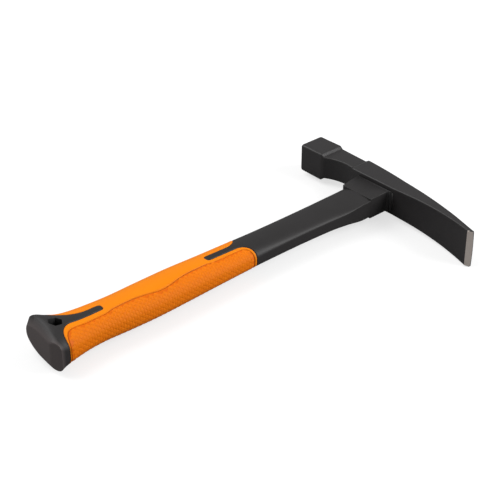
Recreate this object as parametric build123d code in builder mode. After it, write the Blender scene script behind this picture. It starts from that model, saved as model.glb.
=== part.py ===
from build123d import *
from math import ceil, cos, radians, sin, tan
import os

# Brick hammer, all sizes in millimetres.
#
# The hammer lies on its side. +X runs along the handle from the butt to the head,
# +Y points from the handle to the poll, -Y to the blade, and +Z up through the cheeks.
# The part is drawn from a datum: X = 0 at the poll's underside, Y = 0 on the handle's
# axis and Z = 0 on the plane that halves head and handle. The planes below then put
# the frame's origin at the centre of the footprint, on the surface the hammer lies on.

# ---- head: poll ----
POLL_REACH = 82.3         # handle's axis to the striking face
POLL_RISE = 23.5          # poll's size along the handle
POLL_HALF = 12.0          # half the poll's size across the cheeks
POLL_LENGTH = 24.0        # striking face to the bevel behind it
POLL_BEVEL = 2.4          # length of the bevel that leads from the poll to the neck
POLL_LIP = 0.7            # fall of that bevel on the underside
STRIKING_EDGE = 1.5       # chamfer round the striking face

# ---- head: neck ----
NECK_HALF = 9.8           # half the neck's thickness
NECK_SHY = 1.1            # how far the neck's outer side falls short of the poll's
NECK_ARCH = 6.8           # crown of the arch under the neck
NECK_ARCH_Y = 36.0        # place of that crown along the head
NECK_SPRING = 6.0         # underside of the neck at the eye block, where the arch starts
NECK_FOOT = 28.0          # handle's axis to where the neck meets the eye block
NECK_STEP = 3.4           # length of the slope from the neck up to the eye block

# ---- head: eye block ----
EYE_BASE = 2.0            # underside of the eye block, where the collar seats
EYE_HALF = 12.0           # half the thickness over the eye's cheeks
CHEEK_END = 20.0          # handle's axis to where the cheeks start to widen into the blade
EYE_LENGTH = 26.0         # eye along the head, at the underside
EYE_WIDTH = 14.0          # eye across the cheeks, at the underside
EYE_DRAFT = 2.0           # slope of the eye's walls in degrees: it widens towards its outer mouth
EYE_CORNER = 4.5          # corner radius of the eye, at the underside

# ---- head: blade ----
BLADE_REACH = 108.4       # handle's axis to the cutting edge
BLADE_SHOULDER = 31.0     # handle's axis to where the underside starts to curve
BLADE_EDGE_HALF = 15.6    # half the width of the cutting edge
BLADE_DROP = 5.6          # how far the cutting edge lies below the datum
BLADE_FLAT = 24.0         # length of the straight end of the blade's outer side
BLADE_FALL = 8.2          # how far it falls over that length
BLADE_THICK = 4.2         # thickness of the blade behind the ground bevel
BEVEL_RUN = 4.7           # length of the ground bevel along the head
EDGE_LAND = 0.5           # thickness left at the cutting edge
EDGE_BOW = 0.5            # how far the ends of the cutting edge stand back from its middle
EDGE_CORNER = 1.2         # rounding of those ends
BLADE_CROWN = 18.7        # datum to the outer curve, over the eye
BLADE_CROWN_Y = 12.5      # place of that size, from the handle's axis
BLADE_BOW = 3.0           # how far the underside bows towards the handle
BLADE_BOW_Y = 72.0        # place of that bow, from the handle's axis
FORGED_EDGE = 1.0         # rounding of the forging's long edges
LAND_EDGE = 0.2           # the same at the thin cutting edge

# ---- core rod, bond and plug ----
ROD_WIDTH = 20.0          # rod's size along the head
ROD_THICK = 10.0          # rod's size across the cheeks
ROD_CORNER = 3.0          # rounding of its long edges
ROD_STOP = 34.0           # rod's lower end to the hanging hole's centre
PLUG_DEPTH = 5.4          # from the poll's outer side down to the plug's inner face

# ---- jacket: collar ----
COLLAR_HALF = 8.7         # half the collar's thickness
COLLAR_DEPTH = 21.1       # length of the collar below the head
COLLAR_BLADE_SIDE = 16.7  # handle's axis to the collar's face on the blade's side
COLLAR_POLL_SIDE = 17.2   # the same on the poll's side, at the head
COLLAR_TAPER = 3.3        # how much nearer that side is at the collar's lower end
COLLAR_LEAD = 4.2         # radius of the concave lead to the blade's underside
COLLAR_LIP = 0.4          # thickness of that lead at its tip
COLLAR_EDGE = 1.1         # rounding of the collar's edges

# ---- jacket: shaft ----
SHAFT_NEAR = 13.8         # axis to the shaft's side, on the blade's side
SHAFT_FAR = 13.9          # the same on the poll's side
SHAFT_HALF = 8.3          # half the shaft's thickness
SHAFT_FLAT = 3.2          # half the height of the flat along each side
FLARE_NEAR = 17.0         # axis to the side on the blade's side, just below the collar
FLARE_FLAT = 6.7          # half the height of its flat there
FLARE_LENGTH = 30.0       # length over which the flare dies out
SHAFT_TOP = 14.0          # datum to the top of the shaft's own form, inside the collar
SHAFT_LENGTH = 135.5      # datum to the front of the rubber

# ---- rubber grip ----
GRIP_LENGTH = 168.0       # front to rear edge along the sides
GRIP_WALL = 2.2           # thickness of the rubber
CARRIER_LAP = 6.0         # how far the carrier under the rubber runs into the jacket's ends
CARRIER_TURNS = (0, 36, 72)  # corners of the carrier on each quarter of its section, in degrees
GRIP_FLAT = 1.3           # half the height of the flat along each side
BELLY = 90.5              # front of the rubber to the thickest place of the palm swell
BELLY_NEAR = 15.8         # axis to the side there, on the blade's side
BELLY_FAR = 17.1          # the same on the poll's side
BELLY_HALF = 12.0         # half the thickness there
WAIST = 33.5              # rear edge of the rubber to the waist behind the palm
WAIST_NEAR = 14.2         # axis to the side there, on the blade's side
WAIST_FAR = 18.0          # the same on the poll's side
WAIST_HALF = 11.7         # half the thickness there

# ---- hard strips of the jacket that show through the rubber ----
STRIP_Y = 1.0             # middle of the strips, from the handle's axis
STRIP_HALF = 3.3          # half their width
STRIP_TIP = 2.4           # corner radius at their tips
FORE_STRIP = 37.0         # length of the front strip, from the front of the rubber
FORE_ROOT = 10.0          # radius of the rubber's corners beside its root
AFT_STRIP = 39.0          # length of the rear strip, from the rear edge of the rubber
AFT_ROOT_NEAR = 12.0      # radius of the corner beside its root, blade's side
AFT_ROOT_FAR = 16.0       # the same on the poll's side

# ---- jacket: butt ----
BUTT_HALF = 16.0          # half the thickness at the crest
BUTT_CREST = 7.5          # handle's axis to the crest
BUTT_NEAR = 18.0          # handle's axis to the butt's side, on the blade's side
BUTT_FAR = 26.3           # the same on the poll's side
BUTT_LENGTH = 10.3        # rear edge of the rubber to the ridge on the butt's end
BUTT_BEVEL = 5.8          # length over which the butt's cheeks fall to that end
END_FLAT = 9.0            # half the height of the end's flat side towards the blade
RIDGE_Y = -8.0            # place of that ridge
END_SLOPE_FAR = 0.11      # fall of the end's wide face, per millimetre towards the poll
END_SLOPE_NEAR = 0.3      # fall of its narrow face towards the blade
HOLE_FLATS = 8.9          # hanging hole, across the flats
HOLE_Y = 3.4              # handle's axis to the hole's centre
HOLE_IN = 13.3            # ridge to the hole's centre

# ---- spacing of the sections that head and handle are drawn through ----
HEAD_STEP = 10.0          # along the blade and over the eye
ARCH_STEP = 5.6           # along the neck
LONG_STEP = 12.0          # along the shaft and the palm swell
WAIST_STEP = 9.0          # from the rear strip's tip to the butt
BUTT_STEP = 4.2           # over the butt, where the form changes quickly
BEVEL_STEP = 2.2          # over the bevel round its end
BUTT_START = 7.5          # rear edge of the rubber to the first step over the butt

# ---- places along the handle that follow ----
REAR_EDGE = SHAFT_LENGTH + GRIP_LENGTH
BUTT_REACH = REAR_EDGE + BUTT_LENGTH
HOLE_X = BUTT_REACH - HOLE_IN
ROD_END = HOLE_X - ROD_STOP
POLL_BACK = POLL_REACH - POLL_LENGTH
PLUG_SEAT = POLL_RISE - PLUG_DEPTH

# ---- frame ----
DATUM_X = (BUTT_REACH - POLL_RISE) / 2
AXIS_Y = (BLADE_REACH - POLL_REACH) / 2
MID = Plane(origin=(DATUM_X, AXIS_Y, BUTT_HALF))
BEYOND = 60.0             # more than half of anything that a through cut crosses
PAST = 3.0                # how far a form runs on past the cut that ends it

# ---- the handle's form ----
# Sections along the handle: x, blade's side, poll's side, half heights of the flats on
# these two sides, place of the thickest line, half thickness. Smooth curves join them.
FLARE_FOOT = COLLAR_DEPTH + FLARE_LENGTH
STATIONS = (
    (-SHAFT_TOP, FLARE_NEAR - 0.5, SHAFT_FAR + 0.4, FLARE_FLAT, SHAFT_FLAT + 0.4, 0, SHAFT_HALF + 0.2),
    (-COLLAR_DEPTH - 7.4, FLARE_NEAR, SHAFT_FAR + 0.2, FLARE_FLAT, SHAFT_FLAT + 0.2, 0, SHAFT_HALF + 0.1),
    (-FLARE_FOOT + 8, FLARE_NEAR - 0.7, SHAFT_FAR + 0.1, FLARE_FLAT - 2.2, SHAFT_FLAT, 0, SHAFT_HALF),
    (-FLARE_FOOT - 7, SHAFT_NEAR + 1.1, SHAFT_FAR, SHAFT_FLAT + 0.4, SHAFT_FLAT, 0, SHAFT_HALF),
    (-FLARE_FOOT - 38, SHAFT_NEAR, SHAFT_FAR, SHAFT_FLAT, SHAFT_FLAT, 0, SHAFT_HALF),
    (-SHAFT_LENGTH + 19.5, SHAFT_NEAR - 0.2, SHAFT_FAR + 0.5, SHAFT_FLAT - 0.6, SHAFT_FLAT - 0.6, 0,
     SHAFT_HALF + 0.6),
    (-SHAFT_LENGTH - 5.5, BELLY_NEAR - 1.9, BELLY_FAR - 1.5, GRIP_FLAT + 0.2, GRIP_FLAT + 0.2, 0,
     BELLY_HALF - 2.2),
    (-SHAFT_LENGTH - 36.5, BELLY_NEAR - 1.4, BELLY_FAR - 0.8, GRIP_FLAT, GRIP_FLAT, 0, BELLY_HALF - 1.2),
    (-SHAFT_LENGTH - BELLY + 26, BELLY_NEAR - 0.7, BELLY_FAR + 0.1, GRIP_FLAT, GRIP_FLAT, 0,
     BELLY_HALF - 0.3),
    (-SHAFT_LENGTH - BELLY, BELLY_NEAR, BELLY_FAR, GRIP_FLAT, GRIP_FLAT, 0, BELLY_HALF),
    (-REAR_EDGE + WAIST + 20, BELLY_NEAR - 0.6, BELLY_FAR - 0.2, GRIP_FLAT, GRIP_FLAT, 0,
     BELLY_HALF - 0.2),
    (-REAR_EDGE + WAIST, WAIST_NEAR, WAIST_FAR, GRIP_FLAT, GRIP_FLAT + 0.7, 0.8, WAIST_HALF),
    (-REAR_EDGE + 19.5, WAIST_NEAR + 0.6, BUTT_FAR - 6.1, GRIP_FLAT + 0.1, BUTT_CREST - 4, 0.4 * BUTT_CREST,
     BUTT_HALF - 3.2),
    (-REAR_EDGE + 7.5, BUTT_NEAR - 1.8, BUTT_FAR - 3.7, GRIP_FLAT + 0.5, BUTT_CREST - 1,
     0.8 * BUTT_CREST, BUTT_HALF - 1.2),
    (-REAR_EDGE + 0.5, BUTT_NEAR - 0.8, BUTT_FAR - 1.9, GRIP_FLAT + 1.3, BUTT_CREST + 0.5,
     BUTT_CREST + 0.5, BUTT_HALF),
    (-BUTT_REACH + BUTT_BEVEL, BUTT_NEAR - 0.1, BUTT_FAR - 0.5, END_FLAT - 4, BUTT_CREST + 1.5,
     BUTT_CREST + 1.5, BUTT_HALF - 0.6),
    (-BUTT_REACH + 3.8, BUTT_NEAR + 0.1, BUTT_FAR - 0.1, END_FLAT - 1.5, BUTT_CREST,
     BUTT_CREST + 1, BUTT_HALF - 1.9),
    (-BUTT_REACH + 1.8, BUTT_NEAR + 0.1, BUTT_FAR, END_FLAT, BUTT_CREST - 3,
     BUTT_CREST - 0.5, BUTT_HALF - 4.2),
    (-BUTT_REACH, BUTT_NEAR, BUTT_FAR, END_FLAT - 0.8, BUTT_CREST - 5, BUTT_CREST - 2,
     BUTT_HALF - 6),
    (-BUTT_REACH - 4.2, BUTT_NEAR - 0.5, BUTT_FAR - 0.5, END_FLAT - 4, BUTT_CREST - 6.5, BUTT_CREST - 3.5,
     BUTT_HALF - 10),
)


def across(x):
    """Plane across the handle at x: its own x is +Y and its own y is +Z."""
    return Plane(origin=(DATUM_X + x, AXIS_Y, BUTT_HALF), x_dir=(0, 1, 0), z_dir=(1, 0, 0))


def spaced(stops, step):
    """Places from the first stop to the last, even between two stops and no further apart than step."""
    places = [stops[0]]
    for start, stop in zip(stops, stops[1:]):
        count = ceil(abs(stop - start) / step)
        places += [start + (stop - start) * k / count for k in range(1, count + 1)]
    return places


def sizes_at(x):
    """Section sizes at x, on smooth curves through the stations."""
    table = sorted(STATIONS)
    i = max(k for k in range(len(table) - 1) if table[k][0] <= x)
    low, high = table[i], table[i + 1]
    before, after = table[max(i - 1, 0)], table[min(i + 2, len(table) - 1)]
    span = high[0] - low[0]
    t = (x - low[0]) / span
    sizes = []
    for b, p, q, a in zip(before[1:], low[1:], high[1:], after[1:]):
        slope_p = (q - b) / (high[0] - before[0]) * span
        slope_q = (a - p) / (after[0] - low[0]) * span
        sizes.append((2 * t**3 - 3 * t**2 + 1) * p + (t**3 - 2 * t**2 + t) * slope_p
                     + (3 * t**2 - 2 * t**3) * q + (t**3 - t**2) * slope_q)
    return sizes


def section(x):
    """Section of the handle at x: a flat on each side, an elliptic crown above and below."""
    near, far, near_flat, far_flat, crest, half = sizes_at(x)
    with BuildSketch(across(x)) as outline:
        with BuildLine():
            for side, reach, flat, turns in ((-1, near, near_flat, (1, 2)), (1, far, far_flat, (0, 3))):
                for turn in turns:
                    foot = flat if turn < 2 else -flat
                    EllipticalCenterArc((crest, foot), reach - side * crest, half - flat, 90 * turn,
                                        arc_size=90)
                Line((side * reach, -flat), (side * reach, flat))
        make_face()
    return outline.sketch


def carrier_section(x):
    """Section of the carrier at x: flats that stay inside the handle's form by the rubber's wall."""
    near, far, near_flat, far_flat, crest, half = sizes_at(x)
    upper = []
    for side, reach, flat in ((1, far, far_flat), (-1, near, near_flat)):
        for turn in CARRIER_TURNS[::side]:
            upper.append((crest + side * (reach - GRIP_WALL - side * crest) * cos(radians(turn)),
                          flat + (half - GRIP_WALL - flat) * sin(radians(turn))))
    with BuildSketch(across(x)) as outline:
        with BuildLine():
            Polyline(*upper, *[(y, -z) for y, z in reversed(upper)], close=True)
        make_face()
    return outline.sketch


def head_side():
    """Side view of the whole head."""
    tip = (-BLADE_DROP, -BLADE_REACH)
    land = (-BLADE_DROP - EDGE_LAND, -BLADE_REACH)
    back = (BLADE_FALL - BLADE_DROP, -BLADE_REACH + BLADE_FLAT)
    bevel = (BLADE_FALL * BEVEL_RUN / BLADE_FLAT - BLADE_DROP - BLADE_THICK, -BLADE_REACH + BEVEL_RUN)
    shoulder = (EYE_BASE, -BLADE_SHOULDER)
    foot = (POLL_RISE - NECK_SHY, NECK_FOOT)
    spring = (NECK_SPRING, NECK_FOOT)
    lip = (POLL_LIP, POLL_BACK - POLL_BEVEL)
    with BuildSketch(MID) as outline:
        with BuildLine():
            Polyline(lip, (0, POLL_BACK), (0, POLL_REACH), (POLL_RISE, POLL_REACH), (POLL_RISE, POLL_BACK),
                     foot)
            ThreePointArc(foot, (BLADE_CROWN, -BLADE_CROWN_Y), back)
            Polyline(back, tip, land, bevel)
            ThreePointArc(bevel, (EYE_BASE - BLADE_BOW, -BLADE_BOW_Y), shoulder)
            Polyline(shoulder, (EYE_BASE, NECK_FOOT - NECK_STEP), spring)
            ThreePointArc(spring, (NECK_ARCH, NECK_ARCH_Y), lip)
        make_face()
    return outline.sketch


def head_plan():
    """The head seen along the handle."""
    with BuildSketch(across(0)) as outline:
        with BuildLine():
            Polyline((POLL_REACH, 0), (POLL_REACH, POLL_HALF), (POLL_BACK, POLL_HALF),
                     (POLL_BACK - POLL_BEVEL, NECK_HALF), (NECK_FOOT, NECK_HALF),
                     (NECK_FOOT - NECK_STEP, EYE_HALF), (-CHEEK_END, EYE_HALF),
                     (-BLADE_REACH, BLADE_EDGE_HALF), (-BLADE_REACH, 0))
            mirror(about=Plane.XZ)
        make_face()
    return outline.sketch


def edge_plan():
    """Plan that gives the cutting edge its slight bow and its round ends."""
    end = -BLADE_REACH + EDGE_BOW
    with BuildSketch(across(0)) as outline:
        with BuildLine():
            Polyline((end, BLADE_EDGE_HALF), (POLL_REACH, BEYOND), (POLL_REACH, -BEYOND),
                     (end, -BLADE_EDGE_HALF))
            ThreePointArc((end, -BLADE_EDGE_HALF), (-BLADE_REACH, 0), (end, BLADE_EDGE_HALF))
        make_face()
        fillet(outline.vertices().group_by(Axis.X)[0], EDGE_CORNER)
    return outline.sketch


def head_section(y, inset=0.0):
    """Section across the head at y, which fills side view and plan and has rounded corners."""
    middle = Vector(DATUM_X, AXIS_Y + y, BUTT_HALF)
    rise = (SIDE_VIEW & Edge.make_line(middle - (BEYOND, 0, 0), middle + (BEYOND, 0, 0))).bounding_box()
    width = (PLAN_VIEW & Edge.make_line(middle - (0, 0, BEYOND), middle + (0, 0, BEYOND))).bounding_box()
    corner = LAND_EDGE if rise.size.X < 2 * FORGED_EDGE else FORGED_EDGE
    place = Plane(origin=(rise.center().X, middle.Y, BUTT_HALF), x_dir=(1, 0, 0), z_dir=(0, 1, 0))
    with BuildSketch(place) as outline:
        RectangleRounded(rise.size.X - 2 * inset, width.size.Z - 2 * inset, corner)
    return outline.sketch


def eye_mouth(x):
    """Section of the eye at x."""
    growth = (x - EYE_BASE) * tan(radians(EYE_DRAFT))
    with BuildSketch(across(x)) as mouth:
        RectangleRounded(EYE_LENGTH + 2 * growth, EYE_WIDTH + 2 * growth, EYE_CORNER + growth)
    return mouth.sketch


def bare_plan(edge, way, strip, root_near, root_far):
    """Plan of the jacket beyond one end of the rubber, with the strip that runs back into it.

    edge is the rubber's end, way points away from the rubber, strip is the strip's length.
    """
    outer = (Align.MIN if way > 0 else Align.MAX, Align.CENTER)
    inner = (Align.MAX if way > 0 else Align.MIN, Align.CENTER)
    with BuildSketch(MID) as outline:
        with Locations((edge, STRIP_Y)):
            Rectangle(SHAFT_LENGTH + BEYOND, 2 * BEYOND, align=outer)
            Rectangle(strip, 2 * STRIP_HALF, align=inner)
        for side, radius in ((-1, root_near), (1, root_far)):
            fillet(outline.vertices().sort_by_distance((edge, STRIP_Y + side * STRIP_HALF))[0], radius)
        for side in (-1, 1):
            fillet(outline.vertices().sort_by_distance((edge - way * strip, STRIP_Y + side * STRIP_HALF))[0],
                   STRIP_TIP)
    return outline.sketch


def bare_front():
    """The shaft's plan with the front strip."""
    return bare_plan(-SHAFT_LENGTH, 1, FORE_STRIP, FORE_ROOT, FORE_ROOT)


def bare_rear():
    """The butt's plan with the rear strip."""
    return bare_plan(-REAR_EDGE, -1, AFT_STRIP, AFT_ROOT_NEAR, AFT_ROOT_FAR)


# ---- head ----
SIDE_VIEW = head_side().face()
PLAN_VIEW = head_plan().face()
BLADE_PLACES = spaced((-BLADE_REACH, -BLADE_REACH + BEVEL_RUN, -BLADE_REACH + BLADE_FLAT, -BLADE_SHOULDER,
                       -CHEEK_END, NECK_FOOT - NECK_STEP, NECK_FOOT), HEAD_STEP)
NECK_PLACES = spaced((NECK_FOOT, POLL_BACK - POLL_BEVEL), ARCH_STEP)[1:]
POLL_PLACES = [POLL_BACK, POLL_REACH - STRIKING_EDGE]

with BuildPart() as forging:
    loft(sections=[head_section(y) for y in BLADE_PLACES + NECK_PLACES + POLL_PLACES]
         + [head_section(POLL_REACH, STRIKING_EDGE)], ruled=True)
    extrude(edge_plan(), amount=BEYOND, both=True, mode=Mode.INTERSECT)

with BuildPart() as head:
    add(forging.part)
    extrude(eye_mouth(EYE_BASE - PAST), amount=POLL_RISE + 2 * PAST, taper=-EYE_DRAFT, mode=Mode.SUBTRACT)

# ---- core rod ----
with BuildPart() as core_rod:
    with BuildSketch(across(-ROD_END)):
        RectangleRounded(ROD_WIDTH, ROD_THICK, ROD_CORNER)
    extrude(amount=ROD_END + PLUG_SEAT)

# ---- bond between rod and eye ----
with BuildPart() as eye_bond:
    extrude(eye_mouth(EYE_BASE), amount=PLUG_SEAT - EYE_BASE, taper=-EYE_DRAFT)
    add(core_rod.part, mode=Mode.SUBTRACT)

# ---- plug that closes the eye, flush with the head's outer side ----
with BuildPart() as eye_plug:
    extrude(eye_mouth(PLUG_SEAT), amount=PLUG_DEPTH + PAST, taper=-EYE_DRAFT)
    add(forging.part, mode=Mode.INTERSECT)

# ---- jacket: shaft, carrier under the rubber, strips, butt and collar ----
FORM_PLACES = (spaced((-SHAFT_TOP, -SHAFT_LENGTH, -SHAFT_LENGTH - FORE_STRIP, -REAR_EDGE + AFT_STRIP),
                      LONG_STEP)
               + spaced((-REAR_EDGE + AFT_STRIP, -REAR_EDGE + BUTT_START), WAIST_STEP)[1:]
               + spaced((-REAR_EDGE + BUTT_START, -REAR_EDGE + 0.5, -BUTT_REACH + BUTT_BEVEL),
                        BUTT_STEP)[1:]
               + spaced((-BUTT_REACH + BUTT_BEVEL, -BUTT_REACH - PAST), BEVEL_STEP)[1:])
CARRIER_PLACES = ([-SHAFT_LENGTH + CARRIER_LAP] + [x for x in FORM_PLACES if -REAR_EDGE < x < -SHAFT_LENGTH]
                  + [-REAR_EDGE - CARRIER_LAP])

with BuildPart() as handle_form:
    loft(sections=[section(x) for x in FORM_PLACES], ruled=True)
    # two faces that meet in a ridge close the butt
    with BuildSketch(MID):
        with BuildLine():
            Polyline((BEYOND - BUTT_REACH, -BEYOND),
                     (-BUTT_REACH + END_SLOPE_NEAR * (BEYOND + RIDGE_Y), -BEYOND),
                     (-BUTT_REACH, RIDGE_Y), (-BUTT_REACH + END_SLOPE_FAR * (BEYOND - RIDGE_Y), BEYOND),
                     (BEYOND, BEYOND), (BEYOND, -BEYOND), close=True)
        make_face()
    extrude(amount=BEYOND, both=True, mode=Mode.INTERSECT)

with BuildPart() as bare_form:
    extrude(bare_front(), amount=BEYOND, both=True)
    extrude(bare_rear(), amount=BEYOND, both=True)

with BuildPart() as carrier:
    loft(sections=[carrier_section(x) for x in CARRIER_PLACES], ruled=True)

# collar, with its concave lead to the blade's underside
with BuildPart() as collar:
    with BuildSketch(MID):
        with BuildLine():
            lead = (EYE_BASE - COLLAR_LIP, -COLLAR_BLADE_SIDE - COLLAR_LEAD)
            lead_foot = (EYE_BASE - COLLAR_LIP - COLLAR_LEAD, -COLLAR_BLADE_SIDE)
            foot = EYE_BASE - COLLAR_DEPTH
            Polyline(lead_foot, (foot, -COLLAR_BLADE_SIDE), (foot, COLLAR_POLL_SIDE - COLLAR_TAPER),
                     (EYE_BASE, COLLAR_POLL_SIDE), (EYE_BASE, lead[1]), lead)
            RadiusArc(lead, lead_foot, COLLAR_LEAD)
        make_face()
    extrude(amount=COLLAR_HALF, both=True)
    cheeks = collar.faces().filter_by(Axis.Z)
    # the six edges of the cheeks that lie clear of the head
    fillet(cheeks.edges().filter_by(GeomType.LINE).sort_by(Axis.X)[:6], COLLAR_EDGE)

with BuildPart() as handle_jacket:
    add(handle_form.part)
    add(bare_form.part, mode=Mode.INTERSECT)
    add(carrier.part)
    add(collar.part)
    add(core_rod.part, mode=Mode.SUBTRACT)
    with BuildSketch(MID):
        with Locations((-HOLE_X, HOLE_Y)):
            RegularPolygon(HOLE_FLATS / 2, 6, major_radius=False)
    extrude(amount=BEYOND, both=True, mode=Mode.SUBTRACT)

# ---- rubber grip: what is left of the handle's form around the jacket ----
with BuildPart() as grip:
    with BuildSketch(MID):
        with Locations((-SHAFT_LENGTH, 0)):
            Rectangle(GRIP_LENGTH, 2 * BEYOND, align=(Align.MAX, Align.CENTER))
    extrude(amount=BEYOND, both=True)
    add(handle_form.part, mode=Mode.INTERSECT)
    add(bare_form.part, mode=Mode.SUBTRACT)
    add(carrier.part, mode=Mode.SUBTRACT)

# ---- written parts ----
os.makedirs("parts", exist_ok=True)
for node, piece in (("head", head), ("core_rod", core_rod), ("eye_bond", eye_bond), ("eye_plug", eye_plug),
                    ("handle_jacket", handle_jacket), ("grip", grip)):
    piece.part.label = node
    export_step(piece.part, f"parts/{node}.step")
    print(node, round(piece.part.volume), piece.part.is_valid, len(piece.part.solids()))
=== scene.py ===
import math

import bmesh
import bpy
import numpy as np
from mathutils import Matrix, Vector


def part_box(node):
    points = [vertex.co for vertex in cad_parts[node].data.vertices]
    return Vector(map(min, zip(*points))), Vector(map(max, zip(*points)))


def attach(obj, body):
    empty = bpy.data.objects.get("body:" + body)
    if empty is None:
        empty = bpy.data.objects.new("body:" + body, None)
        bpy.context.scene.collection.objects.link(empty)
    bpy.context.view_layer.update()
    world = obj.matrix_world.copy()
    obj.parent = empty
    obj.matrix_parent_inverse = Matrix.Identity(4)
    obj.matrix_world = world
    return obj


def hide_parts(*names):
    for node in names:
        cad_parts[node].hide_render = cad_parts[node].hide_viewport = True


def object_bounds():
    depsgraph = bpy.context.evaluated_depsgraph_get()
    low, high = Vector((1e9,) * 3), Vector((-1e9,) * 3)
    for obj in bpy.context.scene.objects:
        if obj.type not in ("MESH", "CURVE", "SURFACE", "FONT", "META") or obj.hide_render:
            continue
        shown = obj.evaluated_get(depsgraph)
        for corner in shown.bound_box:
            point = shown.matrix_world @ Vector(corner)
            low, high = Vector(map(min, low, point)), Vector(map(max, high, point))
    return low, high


# Brick hammer. Sizes are millimetres from the datum: x = 0 at the poll's underside, y = 0 on
# the handle's axis, z = 0 on the plane that halves head and handle. metres() takes a point
# into the frame. The blade's side is near (-y) and the poll's side far (+y).

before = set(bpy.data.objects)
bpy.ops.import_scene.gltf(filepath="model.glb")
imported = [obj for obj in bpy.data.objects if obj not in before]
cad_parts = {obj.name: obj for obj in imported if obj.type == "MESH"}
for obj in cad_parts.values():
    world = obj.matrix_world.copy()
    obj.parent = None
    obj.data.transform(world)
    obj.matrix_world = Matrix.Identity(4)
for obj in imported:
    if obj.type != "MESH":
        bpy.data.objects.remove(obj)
cad_low, cad_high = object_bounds()

# ---- sizes ----
MM = 1000.0               # millimetres in a metre
HAIR = 0.001              # a step too small to see

# Head: poll, neck, block round the eye, blade and its ground edge.
POLL_REACH, POLL_RISE, POLL_HALF = 82.3, 23.5, 12.0
POLL_BACK, POLL_BEVEL = 58.3, 2.4
NECK_HALF, NECK_FOOT, NECK_STEP = 9.8, 28.0, 3.4
NECK_RISE, NECK_SPRING, NECK_ARCH, NECK_ARCH_Y, POLL_LIP = 22.4, 6.0, 6.8, 36.0, 0.7
EYE_BASE, EYE_HALF, EYE_END = 2.0, 12.0, -20.0
EYE_LENGTH, EYE_WIDTH, EYE_CORNER, EYE_DEPTH = 27.3, 15.3, 5.2, 5.0
BLADE_REACH, BLADE_EDGE_HALF, BLADE_SHOULDER = 108.4, 15.6, -31.0
BLADE_DROP, EDGE_LAND, BEVEL_RUN, BEVEL_BELLY, BLADE_THICK = 5.6, 0.5, 4.7, 0.25, 4.2
BLADE_FLAT, BLADE_FALL, BLADE_CROWN, BLADE_CROWN_Y = 24.0, 8.2, 18.7, -12.5
BLADE_BOW, BLADE_BOW_Y = -1.0, -72.0
FORGED_EDGE, STRIKING_EDGE, EDGE_BOW, EDGE_CORNER = 1.0, 2.2, 0.5, 1.2
POLL_EDGE, POLL_EDGE_RUN = 0.8, 6.0       # extra rounding of the poll's long edges, its run-in
EDGE_LIMIT = 0.35         # most of the head's height that one rounded edge takes
SOFT_REACH, SOFT_CHEEK = 0.9, 0.8         # reach that softens corners, and the cheeks' share
BARE_SKIN, BARE_HALF = 0.15, 15.0         # bare steel: below the outer side, half width
HEAD_SHARP = 28           # degrees; sharper edges of the head stay crisp
BEVEL_ROWS = 12
FINE_ROWS_START, FOOT_BEFORE, FOOT_AFTER = -24.0, 4.0, 2.0    # where the rows change pitch
HEAD_ROWS = 90, 150, 28, 24               # rows in each stretch from the bevel to the face
QUARTER = [math.radians(a) for a in range(15, 91, 15)]        # steps round a quarter circle
EYE_SINK, PLUG_SINK = 2.5, 2.0            # floors of the eye and of the plug, below its seat
PLUG_PLAY = 0.05          # gap round the plug
PLUG_DISH, PLUG_LIP, PLUG_LIP_RUN = 0.55, 0.3, 6.0    # hollow, and the lip against the wall
PLUG_RINGS = 1.0, 0.985, 0.95, 0.85, 0.6, 0.3         # shares of its outline, from the wall

# Collar against the head, with a bead along its top.
COLLAR_HALF, COLLAR_DEPTH, COLLAR_EDGE = 8.7, 21.1, 1.1
COLLAR_NEAR, COLLAR_FAR, COLLAR_TAPER = 16.7, 17.2, 3.3
COLLAR_LEAD, COLLAR_LIP = 4.2, 0.4
BEAD_WIDTH, BEAD_GAP, BEAD_DEPTH, BEAD_PAST = 0.8, 0.5, 1.0, 0.2
COLLAR_STEPS = 5          # facets of its rounded edges
NEAR, TOUCH = 0.1, 0.01   # distances that count as level and as touching

# Blocks that cut: how far they reach beyond what they cut.
CUT_LOW, CUT_HIGH, CUT_HALF, CUT_END, CUT_CLEAR = -30, 40, 40, 5, 2

# Handle: shaft, grip and butt, with the hanging hole.
SHAFT_LENGTH, GRIP_LENGTH, BUTT_LENGTH = 135.5, 168.0, 10.3
REAR_EDGE = SHAFT_LENGTH + GRIP_LENGTH
BUTT_REACH = REAR_EDGE + BUTT_LENGTH
FORM_START = -14.0
SHAFT_PITCH, SHAFT_ROWS_END = 1.2, -130.0         # coarse rows of the jacket, where they stop
JACKET_PITCH, BUTT_ROWS = 0.9, 3.0        # finer rows, up to this far from the butt's end
JACKET_TURNS = 5, 34      # steps round each flat and each side of the crown
RIDGE_Y, END_SLOPE_FAR, END_SLOPE_NEAR, RIDGE_SOFT = -8.0, 0.11, 0.3, 0.8
BUTT_START, BUTT_SQUARE, BUTT_HALF = -285.0, -300.0, 16.0
BUTT_EDGE = 0.5
LIT_END_START, LIT_END_FULL = 1.6, 0.3        # end face of the butt lightened by painted light from the left, with some scuffing; from its own plane
CAP_ROWS, CAP_COUNT, CAP_MIDDLE = 10.0, 22, 3.5   # rows that close the butt, y of their middle
HOLE_X, HOLE_Y, HOLE_FLATS, HOLE_EDGE = -300.5, 3.4, 8.9, 0.5
HOLE_REGION = -290.0      # the hole lies beyond this
HOLE_EDGE_LINE = 0.2      # line that carries the rounding of its rim

# Hard strips in the rubber's two ends, and the rubber's corners beside their roots.
STRIP_Y, STRIP_HALF, STRIP_TIP = 1.0, 3.3, 2.4
FORE_STRIP, FORE_ROOT_NEAR, FORE_ROOT_FAR = 37.0, 10.0, 15.0
AFT_STRIP, AFT_ROOT_NEAR, AFT_ROOT_FAR = 39.0, 12.0, 30.0

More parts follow.
